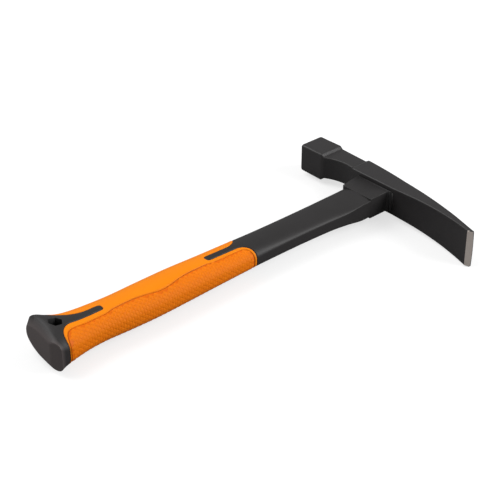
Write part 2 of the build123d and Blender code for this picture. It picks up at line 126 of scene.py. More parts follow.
JACKET_SINK = 0.12        # bare jacket below the form that the rubber follows
UNDER_RUBBER = 1.2        # jacket below that form where the rubber covers it
UNDER_START, UNDER_FULL = 0.3, 1.0        # step down to it, from the rubber's edge
BUTT_FLUSH = 4.0          # beyond the rubber's end by this, the jacket follows the form
RUBBER_EDGE, RUBBER_EDGE_LINE = 0.7, 0.12     # rounding of the rubber's edge, line that carries it
SKIRT = 1.0               # how deep the rubber's edge reaches down
GRIP_START, GRIP_END, GRIP_PITCH = 1.5, 3.0, 0.62     # rows past the rubber's ends, their pitch
GRIP_TURNS = 4, 40        # as the jacket's
LAST_TURN = 4.0           # turn where the far flat meets the middle plane
RIM_FORE, RIM_AFT, RIM_LEAST = 2.2, 3.2, 1.0      # plain rim from the rubber's ends to the pads
RIM_LOW_Y, RIM_FULL_Y = -18.0, -6.0       # where the aft rim is least, and where it is full
PAD_CORNER = 3.0          # rounding of a pad's corners
SEAM_HALF, SEAM_DEPTH = 0.4, 0.65
SEAM_LINES = -0.5, -0.22, 0.0, 0.22, 0.5  # lines that carry the seam's groove
SEAM_SHADE_CORE = 0.1           # the seam's painted shade is full this near its middle
PAD_SINK = 0.2            # pads below the cheeks
PAD_FALL, PAD_TINT = (-0.2, 0.8), (-0.1, 0.4)     # where a pad's sink and tint start and end
SCALE_PITCH = 4.4, 3.8    # scales' spacing along and around the handle
SCALE_MARGIN = 1.9        # scales' middles from the seam
SCALE_SIZE = {"Length": 0.0050, "Width": 0.0043, "Height": 0.00034}   # metres
SCALE_TOP = 0.35          # blunt top's share of a scale's foot
SCALE_START = 3.0         # first row of scales, from the rubber's end
SCALE_CLEAR = 0.2         # scales this near the middle plane aren't mirrored
PROBE = 0.02              # step that finds the surface's directions
FINE_TURNS = 161          # steps that measure the way round a row
JOINT_HALF, JOINT_DEPTH = 0.8, 0.35       # groove in the jacket along the rubber's edge, which also carries painted shade

# Sections along the handle: x, near and far reach, half heights of the near and far flat,
# place of the thickest line, half thickness.
STATIONS = np.array((
    (-318.0, 17.6, 25.4, 6.0, 0.8, 6.0, 6.5),
    (-313.8, 17.8, 25.8, 7.6, 1.2, 6.5, 10.0),
    (-312.8, 17.9, 25.9, 8.2, 4.0, 8.0, 12.3),
    (-311.6, 18.0, 26.1, 8.0, 6.5, 10.0, 14.4),
    (-310.0, 17.9, 26.0, 6.5, 7.6, 10.5, 15.5),
    (-307.5, 17.7, 25.3, 4.8, 6.8, 9.0, 16.0),
    (-303.0, 17.2, 23.3, 3.0, 4.6, 6.0, 15.4),
    (-296.0, 16.2, 21.0, 1.8, 3.0, 4.0, 13.9),
    (-284.0, 14.8, 19.2, 1.4, 2.4, 2.2, 12.3),
    (-270.0, 14.2, 18.0, 1.3, 2.0, 0.8, 11.7),
    (-250.0, 15.2, 16.9, 1.3, 1.3, 0.0, 11.8),
    (-226.0, 15.8, 17.1, 1.3, 1.3, 0.0, 12.0),
    (-200.0, 15.1, 17.2, 1.3, 1.3, 0.0, 11.7),
    (-172.0, 14.4, 16.3, 1.3, 1.3, 0.0, 10.8),
    (-141.0, 13.9, 15.6, 1.5, 1.5, 0.0, 9.8),
    (-116.0, 13.6, 14.4, 2.6, 2.6, 0.0, 8.9),
    (-89.0, 13.8, 13.9, 3.2, 3.2, 0.0, 8.3),
    (-58.0, 14.9, 13.9, 3.6, 3.2, 0.0, 8.3),
    (-43.0, 16.3, 14.0, 4.5, 3.3, 0.0, 8.3),
    (-28.5, 17.0, 14.1, 6.7, 3.4, 0.0, 8.4),
    (-14.0, 16.5, 14.3, 6.7, 3.6, 0.0, 8.5),
))

# Wavy seam that bounds the near pad, seen from above: its level, its dip under the fingers
# and its fall towards the butt.
SEAM_Y = -4.5
SEAM_DIP, SEAM_DIP_X, SEAM_DIP_HALF = 4.0, -219.0, 17.0
SEAM_FALL, SEAM_FALL_START, SEAM_FALL_END = 1.6, -215.0, -300.0
FAR_PAD_RIM, FAR_PAD_WAVE = 3.2, 0.25     # far pad's edge inside the far reach, and its wave

# ---- the frame ----
head_low, head_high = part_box("head")
DATUM = np.array((head_high[0] * MM - POLL_RISE, head_high[1] * MM - POLL_REACH,
                  (head_low[2] + head_high[2]) / 2 * MM))


def metres(points):
    """Points in millimetres from the datum, as metres in the frame."""
    return (np.asarray(points, float) + DATUM) / MM


# ---- small tools ----
def smooth_curve(table, x):
    """Columns of a table at x, on smooth curves through its rows."""
    knots = table[:, 0]
    i = np.clip(np.searchsorted(knots, x, side="right") - 1, 0, len(knots) - 2)
    low, high = table[i], table[i + 1]
    before, after = table[np.maximum(i - 1, 0)], table[np.minimum(i + 2, len(knots) - 1)]
    span = (high[:, 0] - low[:, 0])[:, None]
    t = (np.asarray(x) - low[:, 0])[:, None] / span
    slope_low = (high - before) / (high[:, :1] - before[:, :1]) * span
    slope_high = (after - low) / (after[:, :1] - low[:, :1]) * span
    value = ((2 * t**3 - 3 * t**2 + 1) * low + (t**3 - 2 * t**2 + t) * slope_low
             + (3 * t**2 - 2 * t**3) * high + (t**3 - t**2) * slope_high)
    return value[:, 1:].T


def smoothstep(low, high, value):
    """0 below low, 1 above high, and a smooth rise between."""
    t = np.clip((value - low) / (high - low), 0, 1)
    return t * t * (3 - 2 * t)


def rounding(radius, distance):
    """How far a rounded edge falls below its flat, at a distance from the side wall."""
    reach = np.clip(radius - distance, 0, radius)
    return radius - np.sqrt(radius**2 - reach**2)


def put_object(name, data):
    """Adds an object to the scene, at the origin."""
    thing = bpy.data.objects.new(name, data)
    bpy.context.collection.objects.link(thing)
    return thing


def new_object(name, bm, material, smooth_angle=35):
    """Takes a bmesh into the frame as a piece, smooth except at edges sharper than the angle."""
    bmesh.ops.recalc_face_normals(bm, faces=bm.faces[:])
    for vert in bm.verts:
        vert.co = metres(vert.co)
    mesh = bpy.data.meshes.new(name)
    bm.to_mesh(mesh)
    bm.free()
    mesh.polygons.foreach_set("use_smooth", [True] * len(mesh.polygons))
    mesh.set_sharp_from_angle(angle=math.radians(smooth_angle))
    mesh.materials.append(material)
    return put_object(name, mesh)


def bridge(bm, low, high):
    """Quads between two closed rings of vertices."""
    count = len(low)
    for i in range(count):
        after = (i + 1) % count
        bm.faces.new((low[i], low[after], high[after], high[i]))


def only(parts, kind):
    """Parts of a mesh that are of one kind."""
    return [part for part in parts if isinstance(part, kind)]


def apply_modifiers(piece):
    """Turns a piece with modifiers into a plain mesh."""
    graph = bpy.context.evaluated_depsgraph_get()
    mesh = bpy.data.meshes.new_from_object(piece.evaluated_get(graph), depsgraph=graph)
    piece.modifiers.clear()
    old = piece.data
    piece.data = mesh
    mesh.name = piece.name
    bpy.data.meshes.remove(old)


def paint_masks(piece, masks):
    """Keeps each mask on the piece's points, for the tints of its material."""
    for name, mask in masks.items():
        layer = piece.data.attributes.new(name, "FLOAT", "POINT")
        layer.data.foreach_set("value", mask.astype(np.float32))


def finish_piece(piece, slot, *nodes):
    """Rides a piece on the hammer in place of CAD nodes, which it hides. The slot is not used."""
    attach(piece, "root")
    if nodes:
        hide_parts(*nodes)


# ---- the handle as a map: row (x), turn (round the upper half), lift (outwards) ----
SETTLE_STEPS = 8          # rounds that fit a row to the butt's sloping end
HALVINGS = 14             # rounds that find a line's crossing with an edge
SNAP, SNAP_ROUNDS = 0.2, 2        # an edge's end this near the line moves to it instead
WELD, SLIVER, ON_LINE = 0.004, 0.002, 0.05        # joined, dropped, and taken as on a line


def butt_end(y):
    """x of the butt's end at y: two faces that meet in a soft ridge."""
    away = np.sqrt((y - RIDGE_Y)**2 + RIDGE_SOFT**2) - RIDGE_SOFT
    return -BUTT_REACH + away * np.where(y > RIDGE_Y, END_SLOPE_FAR, END_SLOPE_NEAR)


def section_point(x, turn, lift):
    """y and z on the section at x.

    Turn 0-1 is the near flat, 1-2 and 2-3 the crown, 3-4 the far flat.
    """
    near, far, near_flat, far_flat, crest, half = smooth_curve(STATIONS, x)
    near, far, half = near + lift, far + lift, np.minimum(half, BUTT_HALF) + lift
    angle = (np.clip(turn, 1, 3) - 1) * math.pi / 2
    on_near = turn < 2
    flat = np.where(on_near, near_flat, far_flat)
    reach = np.where(on_near, near + crest, far - crest)
    y = crest - reach * np.cos(angle)
    z = flat + (half - flat) * np.sin(angle)
    z = np.where(turn < 1, near_flat * turn, z)
    z = np.where(turn > 3, far_flat * (4 - turn), z)
    return y, z


def handle_point(row, turn, lift):
    """Points of the handle. Rows beyond the butt's reach run over its end to the middle."""
    row, turn, lift = (np.asarray(v, float) for v in (row, turn, lift))
    main = np.clip(row, -BUTT_REACH, None)
    part = np.clip((BUTT_START - main) / (BUTT_START + BUTT_REACH), 0, 1)
    x = main.copy()
    y, z = section_point(x, turn, lift)
    for _ in range(SETTLE_STEPS):
        end = butt_end(y)
        x = np.where(part > 0, BUTT_START + (end - BUTT_START) * part, main)
        back = END_SLOPE_FAR * np.maximum(y - RIDGE_Y, 0) * smoothstep(BUTT_START, BUTT_SQUARE, x)
        y, z = section_point(x - back, turn, lift - rounding(BUTT_EDGE, x - end))
    over = np.clip((-BUTT_REACH - row) / CAP_ROWS, 0, 1)
    y = np.where(over > 0, CAP_MIDDLE + (y - CAP_MIDDLE) * (1 - over), y)
    z = z * (1 - over)
    x = np.where(over > 0, butt_end(y), x)
    return np.stack((x, y, z), -1)


def strip_distance(x, y, edge, way, length, root):
    """Distance from the bare jacket beyond one end of the rubber, seen from above."""
    beyond = way * (edge - x)
    inward = beyond - length + STRIP_TIP
    across = np.abs(y - STRIP_Y) - STRIP_HALF + STRIP_TIP
    strip = np.hypot(np.maximum(inward, 0), np.maximum(across, 0)) + np.minimum(
        np.maximum(inward, across), 0) - STRIP_TIP
    corner = np.hypot(np.maximum(root - beyond, 0), np.maximum(root - strip, 0))
    return np.maximum(root, np.minimum(beyond, strip)) - corner


def rubber_field(x, y):
    """Distance into the rubber from its edge, seen from above; below 0 on the bare jacket."""
    fore_root = np.where(y < STRIP_Y, FORE_ROOT_NEAR, FORE_ROOT_FAR)
    fore = strip_distance(x, y, -SHAFT_LENGTH, 1, FORE_STRIP, fore_root)
    aft_root = np.where(y < STRIP_Y, AFT_ROOT_NEAR, AFT_ROOT_FAR)
    aft = strip_distance(x, y, -REAR_EDGE, -1, AFT_STRIP, aft_root)
    return np.minimum(fore, aft)


def seam_line(x):
    """Place of the near pad's wavy seam, seen from above."""
    dip = SEAM_DIP * np.exp(-((x - SEAM_DIP_X) / SEAM_DIP_HALF)**2)
    return SEAM_Y - dip - SEAM_FALL * smoothstep(SEAM_FALL_START, SEAM_FALL_END, x)


def pad_field(x, y):
    """Distance into a side pad from its seam; below 0 on the cheeks and the rim."""
    seam = seam_line(x)
    far_reach = smooth_curve(STATIONS, np.clip(x, STATIONS[0, 0], STATIONS[-1, 0]))[1]
    near_side = seam - y
    far_side = y - (far_reach - FAR_PAD_RIM + FAR_PAD_WAVE * (seam - SEAM_Y + SEAM_DIP / 2))
    side = np.maximum(near_side, far_side)
    rim = np.where(x > -SHAFT_LENGTH - GRIP_LENGTH / 2, RIM_FORE,
                   RIM_LEAST + (RIM_AFT - RIM_LEAST) * smoothstep(RIM_LOW_Y, RIM_FULL_Y, y))
    inner = rubber_field(x, y) - rim
    cut = np.hypot(np.maximum(PAD_CORNER - side, 0), np.maximum(PAD_CORNER - inner, 0))
    return PAD_CORNER - cut + np.maximum(np.minimum(side, inner) - PAD_CORNER, 0)


def hole_field(x, y):
    """Distance outside the six-sided hanging hole, seen from above."""
    dx, dy = np.abs(x - HOLE_X), np.abs(y - HOLE_Y)
    slanted = dx * math.cos(math.pi / 6) + dy * 0.5
    return np.maximum(slanted, dy) - HOLE_FLATS / 2


def map_mesh(rows, turns):
    """Flat quad mesh with the rows and turns as its coordinates and the lift as its height."""
    bm = bmesh.new()
    grid = [[bm.verts.new((row, turn, 0)) for turn in turns] for row in rows]
    for low, high in zip(grid, grid[1:]):
        for k in range(len(turns) - 1):
            bm.faces.new((low[k], low[k + 1], high[k + 1], high[k]))
    return bm


def field_at(field, points):
    """Field values at points of a map."""
    place = handle_point(points[:, 0], points[:, 1], 0 * points[:, 0])
    return field(place[:, 0], place[:, 1])


def map_values(bm, field):
    """Field values at all vertices of a map."""
    return field_at(field, np.array([v.co for v in bm.verts]))


def cut_along(bm, field, level):
    """Adds edges to a map along the line where the field has the level."""
    bm.verts.index_update()
    verts = list(bm.verts)
    value = map_values(bm, field) - level
    for _ in range(SNAP_ROUNDS):
        edges = [e for e in bm.edges if value[e.verts[0].index] * value[e.verts[1].index] < 0]
        a = np.array([e.verts[0].co for e in edges])
        b = np.array([e.verts[1].co for e in edges])
        start = value[[e.verts[0].index for e in edges]]
        low, high = np.zeros(len(edges)), np.ones(len(edges))
        for _ in range(HALVINGS):
            t = (low + high) / 2
            same = (field_at(field, a + (b - a) * t[:, None]) - level) * start > 0
            low, high = np.where(same, t, low), np.where(same, high, t)
        snapped = False
        for edge, t in zip(edges, low):
            pick = 0 if t < SNAP else 1 if t > 1 - SNAP else None
            if pick is None or value[edge.verts[pick].index] == 0:
                continue
            vert, other = edge.verts[pick], edge.verts[1 - pick]
            if value[other.index] == 0:
                continue
            share = t if pick == 0 else 1 - t
            vert.co = vert.co + (other.co - vert.co) * float(share)
            value[vert.index] = 0
            snapped = True
        if not snapped:
            break
    on_line = {verts[i] for i in np.flatnonzero(value == 0)}
    touched = set()
    for edge, t in zip(edges, low):
        first, second = edge.verts
        if first in on_line or second in on_line:
            continue
        touched.update(edge.link_faces)
        on_line.add(bmesh.utils.edge_split(edge, first, float(t))[1])
    for vert in on_line:
        touched.update(vert.link_faces)
    for face in touched:
        marks = [v for v in face.verts if v in on_line]
        if len(marks) != 2:
            continue
        first, second = marks
        if not any(e.other_vert(first) is second for e in first.link_edges if face in e.link_faces):
            bmesh.utils.face_split(face, first, second)
    bm.verts.index_update()


def keep_faces(bm, field):
    """Deletes the faces whose middle lies where the field is below 0."""
    faces = list(bm.faces)
    inside = field_at(field, np.array([f.calc_center_median() for f in faces])) > 0
    bmesh.ops.delete(bm, geom=[f for f, keep in zip(faces, inside) if not keep], context="FACES")
    bm.verts.index_update()


def wrap_map(bm):
    """Takes a map to the handle, adds the mirrored lower half and joins the two."""
    co = np.array([v.co for v in bm.verts])
    for vert, point in zip(bm.verts, handle_point(co[:, 0], co[:, 1], co[:, 2])):
        vert.co = point
    lower = bmesh.ops.duplicate(bm, geom=bm.verts[:] + bm.edges[:] + bm.faces[:])["geom"]
    for vert in only(lower, bmesh.types.BMVert):
        vert.co.z = -vert.co.z
    bmesh.ops.reverse_faces(bm, faces=only(lower, bmesh.types.BMFace))
    bmesh.ops.remove_doubles(bm, verts=bm.verts[:], dist=WELD)
    bmesh.ops.dissolve_degenerate(bm, edges=bm.edges[:], dist=SLIVER)


def turn_steps(flat, crown):
    """Turns round the upper half, with so many steps on each flat and each side of the crown."""
    return np.concatenate((np.linspace(0, 1, flat, endpoint=False),
                           np.linspace(1, 3, 2 * crown, endpoint=False),
                           np.linspace(3, LAST_TURN, flat + 1)))


# ---- materials ----
MIX_A, MIX_B, MIX_RESULT = 6, 7, 2        # colour sockets of a Mix node
FLOAT_A, FLOAT_B = 2, 3                   # value sockets of a Mix node
GRINDING = (400, 5200, 60)                # scales of the grinding lines along x, y and z


def bare_nodes(owner):
    """Node tree of a material or a world, emptied."""
    owner.use_nodes = True
    owner.node_tree.nodes.clear()
    return owner.node_tree


def add_node(tree, kind, **values):
    """Adds a node; values set its inputs by name, and properties by a leading underscore."""
    node = tree.nodes.new(kind)
    for key, value in values.items():
        if key.startswith("_"):
            setattr(node, key[1:], value)
        else:
            node.inputs[key.replace("_", " ")].default_value = value
    return node


def new_group(name, inputs, outputs):
    """Shader node group with named sockets: {name: (type, default)} and {name: type}."""
    group = bpy.data.node_groups.new(name, "ShaderNodeTree")
    for label, (kind, default) in inputs.items():
        group.interface.new_socket(label, in_out="INPUT", socket_type=kind).default_value = default
    for label, kind in outputs.items():
        group.interface.new_socket(label, in_out="OUTPUT", socket_type=kind)
    return group, group.nodes.new("NodeGroupInput"), group.nodes.new("NodeGroupOutput")


def surface_grain_group():
    """Fine grain and a slow change of tone over a surface."""
    group, inside, outside = new_group(
        "surface_grain",
        {"Grain Scale": ("NodeSocketFloat", 1500.0), "Cloud Scale": ("NodeSocketFloat", 60.0),
         "Grain Share": ("NodeSocketFloat", 0.7)},
        {"Height": "NodeSocketFloat", "Cloud": "NodeSocketFloat"})
    place = add_node(group, "ShaderNodeTexCoord")
    grain = add_node(group, "ShaderNodeTexNoise", Detail=3.0, Roughness=0.6)
    cloud = add_node(group, "ShaderNodeTexNoise", Detail=4.0, Roughness=0.55)
    mix = add_node(group, "ShaderNodeMix")
    link = group.links.new
    link(place.outputs["Object"], grain.inputs["Vector"])
    link(place.outputs["Object"], cloud.inputs["Vector"])
    link(inside.outputs["Grain Scale"], grain.inputs["Scale"])
    link(inside.outputs["Cloud Scale"], cloud.inputs["Scale"])
    link(inside.outputs["Grain Share"], mix.inputs[0])
    link(cloud.outputs["Fac"], mix.inputs[FLOAT_A])
    link(grain.outputs["Fac"], mix.inputs[FLOAT_B])
    link(mix.outputs[0], outside.inputs["Height"])
    link(cloud.outputs["Fac"], outside.inputs["Cloud"])
    return group


def edge_tone_group():
    """Mask of convex edges, from the surface's own shape."""
    group, inside, outside = new_group(
        "edge_mask", {"Low": ("NodeSocketFloat", 0.52), "High": ("NodeSocketFloat", 0.62)},
        {"Edge": "NodeSocketFloat"})
    shape = add_node(group, "ShaderNodeNewGeometry")
    ramp = add_node(group, "ShaderNodeMapRange", _interpolation_type="SMOOTHSTEP")
    link = group.links.new
    link(shape.outputs["Pointiness"], ramp.inputs["Value"])
    link(inside.outputs["Low"], ramp.inputs["From Min"])
    link(inside.outputs["High"], ramp.inputs["From Max"])
    link(ramp.outputs["Result"], outside.inputs["Edge"])
    return group


GRAIN = surface_grain_group()
EDGES = edge_tone_group()


def mix_colours(tree, factor, first, second):
    """Mixes a second colour into the first, which may be another node's output."""
    mix = add_node(tree, "ShaderNodeMix", _data_type="RGBA")
    tree.links.new(factor, mix.inputs[0])
    if isinstance(first, tuple):
        mix.inputs[MIX_A].default_value = (*first, 1)
    else:
        tree.links.new(first, mix.inputs[MIX_A])
    mix.inputs[MIX_B].default_value = (*second, 1)
    return mix.outputs[MIX_RESULT]


def finish(name, dark, light, *, rough, grain, cloud, bump, share=0.7, metallic=0.0,
           specular=0.5, edge_colour=None, edge_span=(0.52, 0.62), tints=()):
    """Material with two tones that drift over the surface, uneven gloss and a fine grain.

    rough is the least and most roughness, grain and cloud are the scales of the grain and of
    the drift, bump is the relief's depth in metres and share the grain's part in it. Convex
    edges take the edge colour. Each tint is (attribute, colour): the colour is mixed in by the
    mesh's own attribute.
    """
    material = bpy.data.materials.new(name)
    tree = bare_nodes(material)
    link = tree.links.new
    out = add_node(tree, "ShaderNodeOutputMaterial")
    shader = add_node(tree, "ShaderNodeBsdfPrincipled", Metallic=metallic,
                      Specular_IOR_Level=specular)
    link(shader.outputs[0], out.inputs["Surface"])
    surface = add_node(tree, "ShaderNodeGroup", _node_tree=GRAIN, Grain_Scale=grain,
                       Cloud_Scale=cloud, Grain_Share=share)
    colour = mix_colours(tree, surface.outputs["Cloud"], dark, light)
    for attribute, tint in tints:
        mask = add_node(tree, "ShaderNodeAttribute", _attribute_name=attribute)
        colour = mix_colours(tree, mask.outputs["Fac"], colour, tint)
    if edge_colour:
        edge = add_node(tree, "ShaderNodeGroup", _node_tree=EDGES, Low=edge_span[0],
                        High=edge_span[1])
        colour = mix_colours(tree, edge.outputs["Edge"], colour, edge_colour)
    link(colour, shader.inputs["Base Color"])
    gloss = add_node(tree, "ShaderNodeMapRange", To_Min=rough[0], To_Max=rough[1])
    link(surface.outputs["Cloud"], gloss.inputs["Value"])
    link(gloss.outputs["Result"], shader.inputs["Roughness"])
    relief = add_node(tree, "ShaderNodeBump", Strength=1.0, Distance=bump)
    link(surface.outputs["Height"], relief.inputs["Height"])
    link(relief.outputs["Normal"], shader.inputs["Normal"])
    return material


def ground_steel():
    """Bare steel with fine grinding lines across the bevel."""
    material = finish(
        "ground_steel", (0.72, 0.64, 0.585), (0.86, 0.78, 0.72), rough=(0.35, 0.5), grain=2500,
        cloud=160, bump=0.00001, metallic=1.0)
    tree = material.node_tree
    place = add_node(tree, "ShaderNodeTexCoord")
    stretch = add_node(tree, "ShaderNodeMapping", Scale=GRINDING)
    lines = add_node(tree, "ShaderNodeTexNoise", Scale=1.0, Detail=2.0)
    relief = add_node(tree, "ShaderNodeBump", Strength=0.5, Distance=0.00003)
    shader = tree.nodes["Principled BSDF"]
    tree.links.new(place.outputs["Object"], stretch.inputs["Vector"])
    tree.links.new(stretch.outputs["Vector"], lines.inputs["Vector"])
    tree.links.new(lines.outputs["Fac"], relief.inputs["Height"])
    tree.links.new(relief.outputs["Normal"], shader.inputs["Normal"])
    return material


ENAMEL = finish(
    "charcoal_enamel", (0.016, 0.0145, 0.0150), (0.024, 0.0220, 0.0228), rough=(0.38, 0.52),
    grain=700, cloud=90, bump=0.00008, share=0.35, edge_colour=(0.045, 0.042, 0.042),
    edge_span=(0.53, 0.66))
STEEL = ground_steel()
PLASTIC = finish(
    "charcoal_plastic", (0.013, 0.0117, 0.0120), (0.018, 0.0163, 0.0166), rough=(0.5, 0.62),
    grain=2600, cloud=70, bump=0.00003, specular=0.46,
    # the tint of the butt's end face is painted light from the left, with some scuffing
    # the tint of the hanging hole's walls is painted shade
    tints=(("scuffed", (0.080, 0.0660, 0.0645)), ("bore", (0.002, 0.0018, 0.0018)),
           # the tint along the rubber's edge is painted shade in the groove there
           ("joint", (0.003, 0.0026, 0.0026))))
RUBBER = finish(
    "orange_rubber", (0.89, 0.228, 0.0008), (0.92, 0.260, 0.002), rough=(0.45, 0.6),
    grain=2200, cloud=60, bump=0.00002, specular=0.14,
    # the seam's tint is painted shade in its groove
    tints=(("pad", (0.75, 0.142, 0.0005)), ("seam", (0.36, 0.062, 0.0008))))
RUBBER_SCALE = finish(
    "orange_scale_rubber", (0.77, 0.158, 0.0004), (0.88, 0.220, 0.0015), rough=(0.5, 0.65),
    grain=2200, cloud=330, bump=0.00002, specular=0.14)
RESIN = finish(
    "cast_resin", (0.05, 0.045, 0.04), (0.07, 0.062, 0.055), rough=(0.25, 0.4),
    grain=1500, cloud=120, bump=0.00002)
FIBRE = finish(
    "glass_fibre", (0.62, 0.55, 0.36), (0.72, 0.66, 0.46), rough=(0.3, 0.5),
    grain=3000, cloud=150, bump=0.00003)


# ---- head ----
def arc_x(y, first, middle, last):
    """x at y on the circle through three points (x, y)."""
    (ax, ay), (bx, by), (cx, cy) = first, middle, last
    a2, b2, c2 = ax**2 + ay**2, bx**2 + by**2, cx**2 + cy**2
    d = 2 * (ax * (by - cy) + bx * (cy - ay) + cx * (ay - by))
    ux = (a2 * (by - cy) + b2 * (cy - ay) + c2 * (ay - by)) / d
    uy = (a2 * (cx - bx) + b2 * (ax - cx) + c2 * (bx - ax)) / d
    radius = math.hypot(ax - ux, ay - uy)
    side = 1 if bx > ux else -1
    return ux + side * np.sqrt(np.maximum(radius**2 - (y - uy)**2, 0))


def head_outer(y):
    """x of the head's outer side, away from the handle."""
    tip = -BLADE_DROP + BLADE_FALL * (y + BLADE_REACH) / BLADE_FLAT
    back = (BLADE_FALL - BLADE_DROP, -BLADE_REACH + BLADE_FLAT)
    curve = arc_x(y, (NECK_RISE, NECK_FOOT), (BLADE_CROWN, BLADE_CROWN_Y), back)
    neck = NECK_RISE + (POLL_RISE - NECK_RISE) * (y - NECK_FOOT) / (POLL_BACK - NECK_FOOT)
    x = np.where(y < back[1], tip, np.where(y < NECK_FOOT, curve, neck))
    return np.where(y > POLL_BACK, POLL_RISE, x)


def head_under(y):
    """x of the head's underside, towards the handle, without the ground bevel."""
    edge = BLADE_FALL * BEVEL_RUN / BLADE_FLAT - BLADE_DROP - BLADE_THICK
    blade = arc_x(y, (edge, -BLADE_REACH + BEVEL_RUN), (BLADE_BOW, BLADE_BOW_Y),
                  (EYE_BASE, BLADE_SHOULDER))
    step = EYE_BASE + (NECK_SPRING - EYE_BASE) * (y - NECK_FOOT + NECK_STEP) / NECK_STEP
    lip = (POLL_LIP, POLL_BACK - POLL_BEVEL)
    arch = arc_x(y, (NECK_SPRING, NECK_FOOT), (NECK_ARCH, NECK_ARCH_Y), lip)
    foot = POLL_LIP * (POLL_BACK - y) / POLL_BEVEL
    x = np.where(y < BLADE_SHOULDER, blade, EYE_BASE)
    x = np.where(y > NECK_FOOT - NECK_STEP, step, x)
    x = np.where(y > NECK_FOOT, arch, x)
    x = np.where(y > POLL_BACK - POLL_BEVEL, foot, x)
    return np.where(y > POLL_BACK, 0, x)


def head_half(y):
    """Half the head's thickness across the cheeks."""
    table = np.array(((-BLADE_REACH, BLADE_EDGE_HALF), (EYE_END, EYE_HALF),
                      (NECK_FOOT - NECK_STEP, EYE_HALF), (NECK_FOOT, NECK_HALF),
                      (POLL_BACK - POLL_BEVEL, NECK_HALF), (POLL_BACK, POLL_HALF),
                      (POLL_REACH, POLL_HALF)))
    return np.interp(y, table[:, 0], table[:, 1])


def softened(law, y, reach):
    """A law of y with its corners rounded over a short reach."""
    steps = np.linspace(-1, 1, 9)
    weights = (1 - steps**2)**2
    total = sum(w * law(y + s * reach) for s, w in zip(steps, weights))
    return total / weights.sum()


def head_section(y, inset=0.0):
    """Ring of points round the head at y: a rectangle with rounded corners."""
    bevel_edge = -BLADE_REACH + BEVEL_RUN
    to_end = np.minimum(y - bevel_edge, POLL_REACH - STRIKING_EDGE - y)
    reach = np.clip(to_end / 2, 0, SOFT_REACH)
    outer = softened(head_outer, y, reach) - inset
    under = softened(head_under, y, reach) + inset
    half = softened(head_half, y, reach * SOFT_CHEEK) - inset
    if y < bevel_edge:
        edge = head_under(bevel_edge)
        share = (bevel_edge - y) / BEVEL_RUN
        belly = 4 * BEVEL_BELLY * share * (1 - share)
        under = edge + (-BLADE_DROP - EDGE_LAND - edge) * share - belly
    at_poll = smoothstep(POLL_BACK - POLL_EDGE_RUN, POLL_REACH, y)
    corner = min(FORGED_EDGE + POLL_EDGE * at_poll, (outer - under) * EDGE_LIMIT)
    points = []
    per_corner, per_side = 5, 10
    centres = ((outer - corner, half - corner, 0), (under + corner, half - corner, 90),
               (under + corner, -half + corner, 180), (outer - corner, -half + corner, 270))
    for k, (cx, cz, start) in enumerate(centres):
        for i in range(per_corner):
            a = math.radians(start + 90 * i / (per_corner - 1))
            points.append((cx + corner * math.cos(a), cz + corner * math.sin(a)))
        nx, nz, nstart = centres[(k + 1) % 4]
        a = math.radians(nstart)
        goal_x, goal_z = nx + corner * math.cos(a), nz + corner * math.sin(a)
        x, z = points[-1]
        points += [(x + (goal_x - x) * i / per_side, z + (goal_z - z) * i / per_side)
                   for i in range(1, per_side)]
    return [(x, y, z) for x, z in points]


def make_head():
    """The forging: sections along the head, a bevelled edge, a rounded face and the open eye."""
    bevel_edge = -BLADE_REACH + BEVEL_RUN
    rows = [*np.linspace(-BLADE_REACH, bevel_edge - HAIR, BEVEL_ROWS), bevel_edge]
    marks = (bevel_edge, FINE_ROWS_START, POLL_BACK - FOOT_BEFORE, POLL_BACK + FOOT_AFTER,
             POLL_REACH - STRIKING_EDGE)
    for low, high, count in zip(marks, marks[1:], HEAD_ROWS):
        rows += list(np.linspace(low, high, count))[1:]
    rings = [head_section(y) for y in rows]
    for turn in QUARTER:
        rise, inset = math.sin(turn), 1 - math.cos(turn)
        ring = head_section(POLL_REACH - HAIR, STRIKING_EDGE * inset)
        rings.append([(x, POLL_REACH - STRIKING_EDGE * (1 - rise), z) for x, _, z in ring])
    bm = bmesh.new()
    loops = [[bm.verts.new(p) for p in ring] for ring in rings]
    count = len(loops[0])
    for low, high in zip(loops, loops[1:]):
        for i in range(count):
            after = (i + 1) % count
            face = bm.faces.new((low[i], high[i], high[after], low[after]))
            middle = face.calc_center_median()
            on_bevel = middle.y < bevel_edge and abs(middle.z) < BARE_HALF
            if on_bevel and middle.x < head_outer(middle.y) - BARE_SKIN:
                face.material_index = 1
    land = bm.faces.new(loops[0])
    land.material_index = 1
    bm.faces.new(loops[-1])
    piece = new_object("head_forging", bm, ENAMEL, HEAD_SHARP)
    piece.data.materials.append(STEEL)
    end = -BLADE_REACH + EDGE_BOW
    half = BLADE_EDGE_HALF - EDGE_CORNER
    bow = [(end - EDGE_BOW * (1 - (z / half)**2), z) for z in np.linspace(-half, half, 25)]
    corner = [(end + EDGE_CORNER * (1 - math.cos(a)), -half - EDGE_CORNER * math.sin(a))
              for a in QUARTER]
    plan = corner[::-1] + bow + [(y, -z) for y, z in corner]
    plan += [(POLL_REACH + CUT_END, CUT_HALF), (POLL_REACH + CUT_END, -CUT_HALF)]
    trim(piece, block("edge_plan", plan, CUT_LOW, CUT_HIGH, ENAMEL), "INTERSECT")
    mouth = rounded_outline(EYE_LENGTH, EYE_WIDTH, EYE_CORNER)
    seat = POLL_RISE - EYE_DEPTH
    trim(piece, block("eye_cutter", mouth, seat - EYE_SINK, POLL_RISE + CUT_CLEAR, STEEL),
         "DIFFERENCE")
    piece.data.set_sharp_from_angle(angle=math.radians(HEAD_SHARP))
    finish_piece(piece, "head_enamel", "head")


def rounded_outline(length, width, corner, steps=7):
    """Points (y, z) of a rectangle with round corners."""
    points = []
    for k, (sy, sz) in enumerate(((1, 1), (-1, 1), (-1, -1), (1, -1))):
        for i in range(steps):
            a = math.radians(90 * k + 90 * i / (steps - 1))
            points.append((sy * (length / 2 - corner) + corner * math.cos(a),
                           sz * (width / 2 - corner) + corner * math.sin(a)))
    return points


